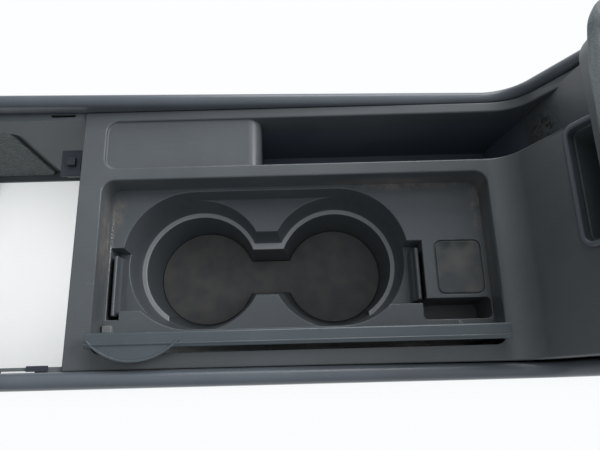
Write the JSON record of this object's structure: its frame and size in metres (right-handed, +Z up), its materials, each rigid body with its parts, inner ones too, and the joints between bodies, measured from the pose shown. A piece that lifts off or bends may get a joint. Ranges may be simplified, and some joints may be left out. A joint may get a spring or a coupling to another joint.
{
  "type": "car center console",
  "caption": "Car center console with a cup holder tray, stowed sliding lid, handbrake trough, side rails and a hinged armrest over a storage box.",
  "frame": {"origin": "centre of the base's footprint, on the floor plane that the side panels stand on", "axes": "+X towards the rear of the car, +Y towards the driver's side with the handbrake, +Z up"},
  "size_m": [0.7098, 0.1954, 0.231],
  "materials": {
    "trim_plastic": "soft-grained moulded, lightly worn",
    "panel_plastic": "moulded",
    "dark_plastic": "moulded",
    "insert_plastic": "moulded",
    "mat_rubber": "satin",
    "armrest_vinyl": "grained vinyl over foam",
    "felt": "needled felt",
    "steel": "zinc plated"
  },
  "bodies": {
    "console": {"side_panel_left": "panel_plastic", "side_panel_right": "panel_plastic", "rail_left": "trim_plastic", "rail_right": "trim_plastic", "top_trim": "trim_plastic", "well_liner": "dark_plastic", "cup_holder_insert": "insert_plastic", "cup_mat": "mat_rubber", "coin_pad": "mat_rubber", "tray_stop": "mat_rubber", "lid_guide_front": "dark_plastic", "lid_guide_rear": "dark_plastic", "lid_catch": "insert_plastic", "front_crossmember": "dark_plastic", "carrier_right": "panel_plastic", "felt_pad": "felt", "clip_bracket": "dark_plastic", "rail_clips": "dark_plastic", "pocket_bezel": "trim_plastic", "pocket_liner": "dark_plastic", "storage_bin": "dark_plastic", "rear_panel": "panel_plastic", "hinge_bracket": "steel", "armrest_stops": "mat_rubber", "bin_mat": "felt", "panel_screws": "steel", "hinge_screws": "steel"},
    "lid": {"lid_panel": "trim_plastic", "lid_pins": "steel"},
    "armrest": {"armrest_shell": "dark_plastic", "armrest_pad": "armrest_vinyl", "hinge_pins": "steel"}
  },
  "joints": [
    {"name": "lid_slide", "type": "slide", "parent": "console", "child": "lid", "axis": [0, 0, 1], "range_m": [0, 0.084]},
    {"name": "armrest_hinge", "type": "hinge", "parent": "console", "child": "armrest", "pos_m": [0.34388, 0, 0.199], "axis": [0, 1, 0], "range_deg": [0, 80]}
  ]
}
